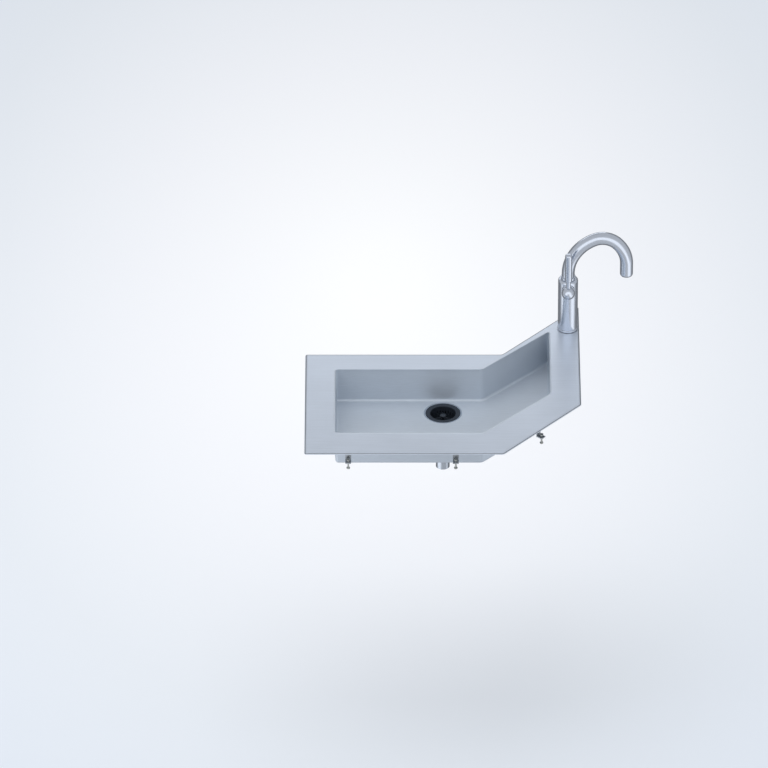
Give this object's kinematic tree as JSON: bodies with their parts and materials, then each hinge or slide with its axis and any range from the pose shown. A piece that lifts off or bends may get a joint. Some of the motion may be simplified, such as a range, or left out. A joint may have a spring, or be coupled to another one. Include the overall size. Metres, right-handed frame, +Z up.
{
  "type": "corner kitchen sink with tap",
  "caption": "Inset steel kitchen sink whose bowl and deck turn a corner, with a basket strainer waste and a single-lever gooseneck tap on the turned end.",
  "frame": {"origin": "middle of the straight front edge, on the underside of the rim seal, which is the worktop's top plane", "axes": "+X along the front edge towards the turned end, +Y away from the front edge, +Z up"},
  "size_m": [0.9048, 0.7423, 0.5864],
  "materials": {
    "deck_steel": "bright satin sheet with a faint blue cast",
    "bowl_steel": "satin pressed sheet, darker in the bowl",
    "seal_rubber": "matt black rubber",
    "galvanised": "dull zinc coat",
    "zinc_screw": "bright zinc plating",
    "damping_pad": "dark pressed pad",
    "brass": "turned brass",
    "strainer_steel": "polished sheet",
    "dark_coating": "gunmetal satin coat",
    "fibre": "pressed fibre",
    "pale_plastic": "moulded, off-white",
    "tap_chrome": "satin chrome with a blue cast"
  },
  "bodies": {
    "root": {"sink_deck": "deck_steel", "bowl": "bowl_steel", "rim_seal": "seal_rubber", "base_gasket": "seal_rubber", "shank_washer": "seal_rubber", "waste_gasket": "seal_rubber", "waste_washer": "seal_rubber", "tailpiece_washer": "seal_rubber", "spout_seals": "seal_rubber", "cartridge_seal": "seal_rubber", "rim_rails": "galvanised", "hold_down_clamps": "galvanised", "tap_stiffener": "galvanised", "shank_plate": "galvanised", "clamp_screws": "zinc_screw", "sound_pads": "damping_pad", "earth_tag": "brass", "cartridge_nut": "brass", "mounting_shank": "brass", "shank_nut": "brass", "strainer_body": "strainer_steel", "tailpiece": "strainer_steel", "friction_ring": "fibre", "waste_locknut": "pale_plastic", "coupling_nut": "pale_plastic", "spout_bearing": "pale_plastic", "cartridge": "pale_plastic", "tap_body": "tap_chrome", "base_ring": "tap_chrome", "cartridge_cover": "tap_chrome"},
    "basket": {"strainer_basket": "dark_coating", "basket_knob": "dark_coating", "basket_seal": "seal_rubber"},
    "spout": {"spout": "tap_chrome", "spout_collar": "tap_chrome", "spout_screw": "zinc_screw", "aerator_housing": "tap_chrome", "aerator_insert": "pale_plastic", "aerator_screen": "tap_chrome"},
    "mixer": {"lever_carrier": "brass"},
    "lever": {"lever_hub": "tap_chrome", "lever_pin": "zinc_screw", "lever_stem": "tap_chrome", "lever_bar": "tap_chrome"}
  },
  "joints": [
    {"name": "spout_swivel", "type": "hinge", "parent": "root", "child": "spout", "pos_m": [0.4545, 0.6275, 0.1737], "axis": [0, 0, 1], "range_deg": [0, 225]},
    {"name": "lever_temperature", "type": "hinge", "parent": "root", "child": "mixer", "pos_m": [0.4545, 0.5845, 0.1457], "axis": [0, 1, 0], "range_deg": [0, 50]},
    {"name": "lever_flow", "type": "hinge", "parent": "mixer", "child": "lever", "pos_m": [0.4545, 0.5845, 0.1457], "axis": [1, 0, 0], "range_deg": [0, 25]},
    {"name": "basket_lift", "type": "slide", "parent": "root", "child": "basket", "axis": [0, 0, 1], "range_m": [0, 0.16]}
  ]
}
